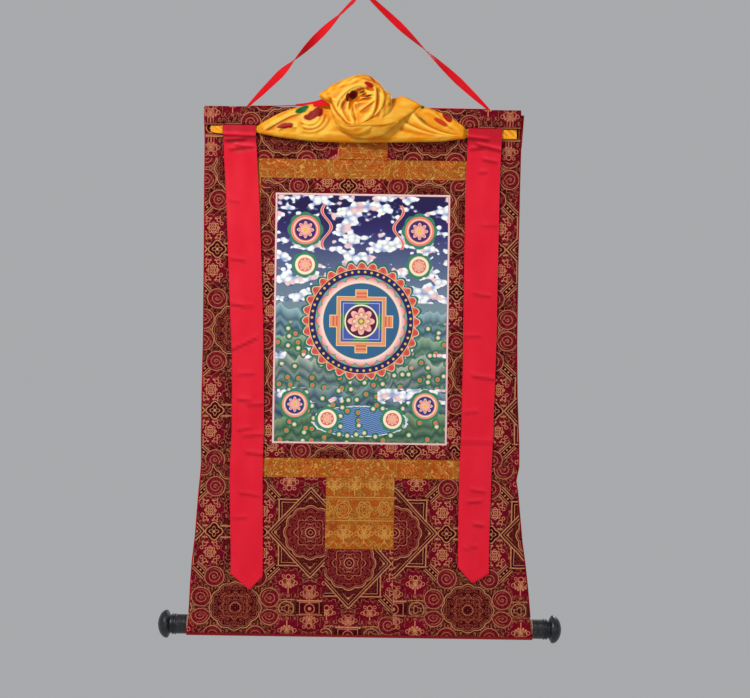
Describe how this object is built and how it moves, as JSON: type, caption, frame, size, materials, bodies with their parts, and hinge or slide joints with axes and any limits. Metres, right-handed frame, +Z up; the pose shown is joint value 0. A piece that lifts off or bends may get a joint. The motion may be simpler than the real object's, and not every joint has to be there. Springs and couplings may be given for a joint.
{
  "type": "thangka scroll painting",
  "caption": "Hanging cloth scroll: a picture in a brocade mount with a tied silk cover, long ribbons, a batten in the head sleeve and a capped roller at the foot, on a tape loop.",
  "frame": {"origin": "the place where the hanging tape bears on its nail, at the top of the nail", "axes": "+Z up along the hanging scroll, -Y the way the picture faces, +X to the viewer's right when looking at the picture"},
  "size_m": [0.6926, 0.0858, 1.115],
  "materials": {
    "lining_red": "matt red cotton",
    "brocade_maroon": "dark maroon silk brocade with dull gold lines",
    "brocade_gold": "gold silk brocade",
    "picture": "painted cloth, matt",
    "ribbon_red": "red satin",
    "silk_yellow": "yellow silk with a soft sheen",
    "tape_red": "bright red woven tape",
    "wood": "plain wood",
    "dark_metal": "near-black, satin"
  },
  "bodies": {
    "root": {"lining": "lining_red", "head": "brocade_maroon", "side_left": "brocade_maroon", "side_right": "brocade_maroon", "foot_left": "brocade_maroon", "foot_middle": "brocade_maroon", "foot_right": "brocade_maroon", "gold_strip_top": "brocade_gold", "gold_strip_bottom": "brocade_gold", "gold_strip_left": "brocade_gold", "gold_strip_right": "brocade_gold", "inner_strip_top": "brocade_maroon", "inner_strip_bottom": "brocade_maroon", "inner_strip_left": "brocade_maroon", "inner_strip_right": "brocade_maroon", "picture": "picture", "top_patch": "brocade_gold", "door": "brocade_gold", "ribbon_left": "ribbon_red", "ribbon_right": "ribbon_red", "silk_cover": "silk_yellow", "hanging_tape": "tape_red", "tie_tape": "tape_red", "batten": "wood", "roller": "wood", "cap_left": "dark_metal", "cap_right": "dark_metal"}
  },
  "joints": []
}
